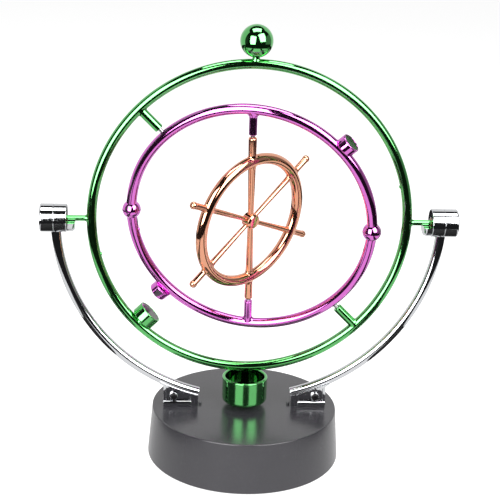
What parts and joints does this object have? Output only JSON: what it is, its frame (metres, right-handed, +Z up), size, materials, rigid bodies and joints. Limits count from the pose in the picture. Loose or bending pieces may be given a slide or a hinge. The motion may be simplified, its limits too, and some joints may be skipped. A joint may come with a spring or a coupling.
{
  "type": "magnetic desk sculpture",
  "caption": "Tumbling desk sculpture: a ring, an inner ring and a spoked wheel, each on its own axis between two curved chrome arms on a round base.",
  "frame": {"origin": "centre of the plane the base stands on", "axes": "+Z up; +X along the outer ring's pivot axis, towards the right arm as seen from the front; -Y is the front"},
  "size_m": [0.2116, 0.1008, 0.2285],
  "materials": {
    "base_plastic": "fine satin moulded ABS",
    "plate_plastic": "moulded ABS",
    "foot_rubber": "moulded rubber",
    "screw_steel": "zinc plated",
    "chrome_rod": "bright chrome plate",
    "chrome_drum": "bright chrome plate",
    "bush_bronze": "sintered bronze",
    "green_metal_coat": "vacuum-metallised ABS with a green lacquer",
    "purple_metal_coat": "vacuum-metallised ABS with a purple lacquer",
    "copper_metal_coat": "vacuum-metallised ABS with a copper lacquer",
    "magnet_nickel": "nickel-plated magnet",
    "pin_steel": "ground steel",
    "bobbin_plastic": "moulded nylon",
    "coil_copper": "enamelled copper wire",
    "core_iron": "soft iron",
    "board_green": "solder-masked board",
    "component_black": "epoxy",
    "component_can": "sleeved can",
    "resistor_tan": "lacquered body",
    "cell_sleeve": "printed sleeve",
    "contact_nickel": "nickel plated",
    "lead_sleeve": "PVC insulation"
  },
  "bodies": {
    "stand": {"base_cover": "base_plastic", "bottom_plate": "plate_plastic", "rubber_feet": "foot_rubber", "plate_screws": "screw_steel", "arm_left": "chrome_rod", "arm_right": "chrome_rod", "arm_shoe_left": "chrome_rod", "arm_shoe_right": "chrome_rod", "shoe_screws": "screw_steel", "clamp_screws": "chrome_rod", "bearing_housing_left": "chrome_drum", "bearing_housing_right": "chrome_drum", "bearing_cap_left": "chrome_drum", "bearing_cap_right": "chrome_drum", "bearing_bush_left": "bush_bronze", "bearing_bush_right": "bush_bronze", "coil_bobbin": "bobbin_plastic", "coil_winding": "coil_copper", "coil_core": "core_iron", "circuit_board": "board_green", "transistor": "component_black", "capacitor": "component_can", "resistors": "resistor_tan", "battery_cell_1": "cell_sleeve", "battery_cell_2": "cell_sleeve", "battery_cell_3": "cell_sleeve", "battery_cell_4": "cell_sleeve", "contact_springs": "contact_nickel", "contact_plates": "contact_nickel", "coil_leads": "lead_sleeve", "battery_leads": "lead_sleeve"},
    "battery_door": {"battery_door": "plate_plastic"},
    "outer_ring": {"outer_ring": "green_metal_coat", "side_pin_left": "green_metal_coat", "side_pin_right": "green_metal_coat", "top_ball": "green_metal_coat", "bottom_cup": "green_metal_coat", "cup_magnet": "magnet_nickel", "outer_magnet_cup": "green_metal_coat", "outer_magnet": "magnet_nickel"},
    "middle_ring": {"middle_ring": "purple_metal_coat", "middle_magnet_cup_upper": "purple_metal_coat", "middle_magnet_cup_lower": "purple_metal_coat", "middle_magnet_upper": "magnet_nickel", "middle_magnet_lower": "magnet_nickel", "middle_pin_upper": "pin_steel", "middle_pin_lower": "pin_steel"},
    "wheel": {"wheel_rim": "copper_metal_coat", "wheel_hub": "copper_metal_coat", "wheel_spoke_1": "copper_metal_coat", "wheel_spoke_2": "copper_metal_coat", "wheel_spoke_3": "copper_metal_coat", "wheel_spoke_4": "copper_metal_coat", "wheel_axle_upper": "copper_metal_coat", "wheel_axle_lower": "copper_metal_coat", "wheel_pins": "pin_steel"}
  },
  "joints": [
    {"name": "outer_ring_swing", "type": "hinge", "parent": "stand", "child": "outer_ring", "pos_m": [0, 0, 0.129], "axis": [1, 0, 0], "continuous": true},
    {"name": "middle_ring_spin", "type": "hinge", "parent": "outer_ring", "child": "middle_ring", "pos_m": [0, 0, 0.129], "axis": [-0.7071, 0, 0.7071], "continuous": true},
    {"name": "wheel_spin", "type": "hinge", "parent": "middle_ring", "child": "wheel", "pos_m": [0, 0, 0.129], "axis": [-0.0208, -0.202, 0.9792], "continuous": true},
    {"name": "battery_door_swing", "type": "hinge", "parent": "stand", "child": "battery_door", "pos_m": [0, -0.0282, 0.0008], "axis": [-1, 0, 0], "range_deg": [0, 80]}
  ]
}
